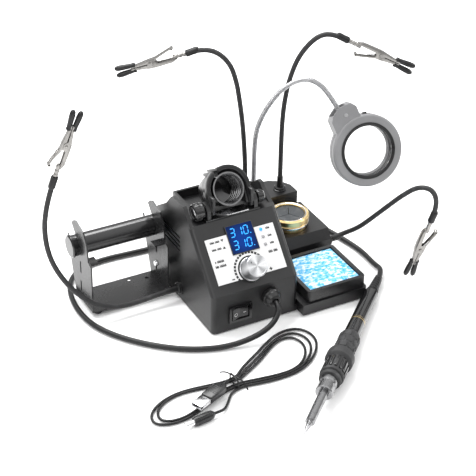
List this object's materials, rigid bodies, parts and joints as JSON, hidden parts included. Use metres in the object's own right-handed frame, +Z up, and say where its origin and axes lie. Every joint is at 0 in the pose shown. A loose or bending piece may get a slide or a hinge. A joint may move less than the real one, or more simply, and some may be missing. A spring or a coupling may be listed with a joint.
{
  "type": "soldering iron station",
  "caption": "Compact soldering station with sloping display panel, iron on a cord, iron holder, sponge tray, brass wool pot, spool stand, flexible clip arms and lighted magnifier.",
  "frame": {"origin": "centre of the middle foot under the housing, on the surface that the station stands on", "axes": "+X to the right, +Y to the back, +Z up; the control panel faces -Y"},
  "size_m": [0.4047, 0.4009, 0.2412],
  "materials": {
    "black_plastic": "fine matte texture",
    "panel_white": "printed label",
    "display_blue": "gloss window",
    "led_grey": "clear domes",
    "knob_silver": "spun",
    "gloss_black": "gloss",
    "rubber": "matte",
    "transformer_steel": "laminated",
    "board_green": "solder mask",
    "zinc": "bright zinc",
    "tray_dark": "satin",
    "sponge_blue": "open cell",
    "brass": "polished",
    "sheet_black": "satin powder coat",
    "neck_rubber": "matte sleeve",
    "clip_steel": "nickel plate",
    "neck_steel": "spiral gooseneck",
    "head_grey": "satin",
    "lens_glass": "clear",
    "iron_steel": "satin",
    "grip_rubber": "soft",
    "lead_black": "satin jacket"
  },
  "bodies": {
    "station": {"housing": "black_plastic", "base_plate": "black_plastic", "deck_block": "black_plastic", "holder_yoke": "black_plastic", "cord_gland": "black_plastic", "rocker_frame": "black_plastic", "mains_inlet": "black_plastic", "panel_label": "panel_white", "display_window": "display_blue", "status_leds": "led_grey", "rubber_feet": "rubber", "spool_feet": "rubber", "iron_cord": "rubber", "transformer": "transformer_steel", "circuit_boards": "board_green", "fixing_screws": "zinc", "heat_plate": "zinc", "socket_nuts": "zinc", "spool_bracket": "sheet_black", "usb_hank": "lead_black", "usb_plug": "lead_black", "dc_plug": "lead_black", "usb_tie": "lead_black"},
    "dial": {"knob": "knob_silver"},
    "power_rocker": {"rocker": "gloss_black"},
    "iron_holder": {"holder_barrel": "black_plastic", "holder_liner": "zinc"},
    "clamp_bolt": {"holder_knobs": "gloss_black"},
    "spool_spindle": {"spool_rod": "gloss_black"},
    "tray": {"sponge_tray": "tray_dark", "sponge": "sponge_blue"},
    "wool_pot": {"pot_cup": "brass", "pot_membrane": "rubber", "pot_wool": "brass"},
    "iron": {"iron_tip": "iron_steel", "iron_nut": "iron_steel", "iron_grip": "grip_rubber", "iron_handle": "gloss_black", "iron_relief": "rubber"},
    "mag_stem": {"mag_lower": "neck_steel"},
    "mag_neck": {"mag_upper": "neck_steel"},
    "mag_light": {"mag_head": "head_grey", "mag_lens": "lens_glass"},
    "mag_slider": {"mag_switch": "gloss_black"},
    "arm_1_stem": {"arm_1_lower": "neck_rubber"},
    "arm_1_neck": {"arm_1_upper": "neck_rubber"},
    "arm_1_grip": {"arm_1_clip": "clip_steel"},
    "arm_1_jaw": {"arm_1_lever": "clip_steel"},
    "arm_2_stem": {"arm_2_lower": "neck_rubber"},
    "arm_2_neck": {"arm_2_upper": "neck_rubber"},
    "arm_2_grip": {"arm_2_clip": "clip_steel"},
    "arm_2_jaw": {"arm_2_lever": "clip_steel"},
    "arm_3_stem": {"arm_3_lower": "neck_rubber"},
    "arm_3_neck": {"arm_3_upper": "neck_rubber"},
    "arm_3_grip": {"arm_3_clip": "clip_steel"},
    "arm_3_jaw": {"arm_3_lever": "clip_steel"},
    "arm_4_stem": {"arm_4_lower": "neck_rubber"},
    "arm_4_neck": {"arm_4_upper": "neck_rubber"},
    "arm_4_grip": {"arm_4_clip": "clip_steel"},
    "arm_4_jaw": {"arm_4_lever": "clip_steel"}
  },
  "joints": [
    {"name": "dial_turn", "type": "hinge", "parent": "station", "child": "dial", "pos_m": [0, -0.0476, 0.05603], "axis": [0, -0.7436, 0.6686], "range_deg": [-135, 135]},
    {"name": "rocker_tilt", "type": "hinge", "parent": "station", "child": "power_rocker", "pos_m": [-0.0178, -0.0606, 0.0195], "axis": [0, 0, 1], "range_deg": [-11, 0]},
    {"name": "holder_tilt", "type": "hinge", "parent": "station", "child": "iron_holder", "pos_m": [0, -0.003, 0.108], "axis": [1, 0, 0], "range_deg": [0, 9]},
    {"name": "clamp_bolt_turn", "type": "hinge", "parent": "station", "child": "clamp_bolt", "pos_m": [0, -0.003, 0.108], "axis": [1, 0, 0], "continuous": true},
    {"name": "spool_spin", "type": "hinge", "parent": "station", "child": "spool_spindle", "pos_m": [-0.0975, 0.0595, 0.064], "axis": [1, 0, 0], "continuous": true},
    {"name": "tray_lift", "type": "slide", "parent": "station", "child": "tray", "axis": [0, 0, 1], "range_m": [0, 0.03]},
    {"name": "pot_lift", "type": "slide", "parent": "station", "child": "wool_pot", "axis": [0, 0, 1], "range_m": [0, 0.045]},
    {"name": "iron_lift", "type": "slide", "parent": "station", "child": "iron", "axis": [0, 0, 1], "range_m": [0, 0.03]},
    {"name": "arm_1_swivel", "type": "hinge", "parent": "station", "child": "arm_1_stem", "pos_m": [-0.048, 0.0105, 0.014], "axis": [-1, 0, 0], "range_deg": [-12, 12]},
    {"name": "arm_1_bend", "type": "hinge", "parent": "arm_1_stem", "child": "arm_1_neck", "pos_m": [-0.182, 0.03, 0.111], "axis": [0, 1, 0], "range_deg": [-12, 12]},
    {"name": "arm_1_clip_twist", "type": "hinge", "parent": "arm_1_neck", "child": "arm_1_grip", "pos_m": [-0.169, 0.027, 0.168], "axis": [0.2962, -0.1185, 0.9478], "range_deg": [-90, 90]},
    {"name": "arm_1_jaw_open", "type": "hinge", "parent": "arm_1_grip", "child": "arm_1_jaw", "pos_m": [-0.15883, 0.02059, 0.20225], "axis": [-0.257, -0.9608, -0.1041], "range_deg": [0, 12], "stiffness_Nm_per_rad": 0.08, "springref_deg": -17.19},
    {"name": "arm_2_swivel", "type": "hinge", "parent": "station", "child": "arm_2_stem", "pos_m": [0.066, 0.085, 0.057], "axis": [0, 0, 1], "range_deg": [-20, 15]},
    {"name": "arm_2_bend", "type": "hinge", "parent": "arm_2_stem", "child": "arm_2_neck", "pos_m": [0.057, 0.09, 0.187], "axis": [0.4691, 0.8832, 0], "range_deg": [-10, 10]},
    {"name": "arm_2_clip_twist", "type": "hinge", "parent": "arm_2_neck", "child": "arm_2_grip", "pos_m": [0.012, 0.115, 0.218], "axis": [-0.7881, 0.4729, -0.3941], "range_deg": [-90, 90]},
    {"name": "arm_2_jaw_open", "type": "hinge", "parent": "arm_2_grip", "child": "arm_2_jaw", "pos_m": [-0.0191, 0.13056, 0.20762], "axis": [0.4698, 0.8778, -0.094], "range_deg": [0, 12], "stiffness_Nm_per_rad": 0.08, "springref_deg": -17.19},
    {"name": "arm_3_swivel", "type": "hinge", "parent": "station", "child": "arm_3_stem", "pos_m": [0.102, 0.073, 0.057], "axis": [0, 0, 1], "range_deg": [-15, 30]},
    {"name": "arm_3_bend", "type": "hinge", "parent": "arm_3_stem", "child": "arm_3_neck", "pos_m": [0.104, 0.072, 0.164], "axis": [0.4801, 0.8772, 0], "range_deg": [-8, 12]},
    {"name": "arm_3_clip_twist", "type": "hinge", "parent": "arm_3_neck", "child": "arm_3_grip", "pos_m": [0.159, 0.042, 0.232], "axis": [0.7714, -0.45, -0.45], "range_deg": [-90, 90]},
    {"name": "arm_3_jaw_open", "type": "hinge", "parent": "arm_3_grip", "child": "arm_3_jaw", "pos_m": [0.18798, 0.02654, 0.21654], "axis": [0.4144, 0.9016, -0.1243], "range_deg": [0, 12], "stiffness_Nm_per_rad": 0.08, "springref_deg": -17.19},
    {"name": "arm_4_swivel", "type": "hinge", "parent": "station", "child": "arm_4_stem", "pos_m": [0.126, 0.012, 0.02], "axis": [1, 0, 0], "range_deg": [-5, 10]},
    {"name": "arm_4_bend", "type": "hinge", "parent": "arm_4_stem", "child": "arm_4_neck", "pos_m": [0.166, -0.062, 0.104], "axis": [-0.9207, -0.3903, 0], "range_deg": [-5, 8]},
    {"name": "arm_4_clip_twist", "type": "hinge", "parent": "arm_4_neck", "child": "arm_4_grip", "pos_m": [0.181, -0.093, 0.086], "axis": [-0.144, 0.24, -0.96], "range_deg": [-90, 90]},
    {"name": "arm_4_jaw_open", "type": "hinge", "parent": "arm_4_grip", "child": "arm_4_jaw", "pos_m": [0.17675, -0.08451, 0.05096], "axis": [-0.3453, -0.9208, -0.1814], "range_deg": [0, 12], "stiffness_Nm_per_rad": 0.08, "springref_deg": -17.19},
    {"name": "mag_swivel", "type": "hinge", "parent": "station", "child": "mag_stem", "pos_m": [0.068, 0.07, 0.057], "axis": [0, 0, 1], "range_deg": [-7, 15]},
    {"name": "mag_bend", "type": "hinge", "parent": "mag_stem", "child": "mag_neck", "pos_m": [0.087, 0.058, 0.182], "axis": [0.5368, 0.8437, 0], "range_deg": [-5, 8]},
    {"name": "mag_tilt", "type": "hinge", "parent": "mag_neck", "child": "mag_light", "pos_m": [0.14593, 0.03082, 0.15941], "axis": [0.9848, -0.1736, 0], "range_deg": [-10, 10]},
    {"name": "mag_switch_slide", "type": "slide", "parent": "mag_light", "child": "mag_slider", "axis": [0.9848, -0.1736, 0], "range_m": [0, 0.0038]}
  ]
}
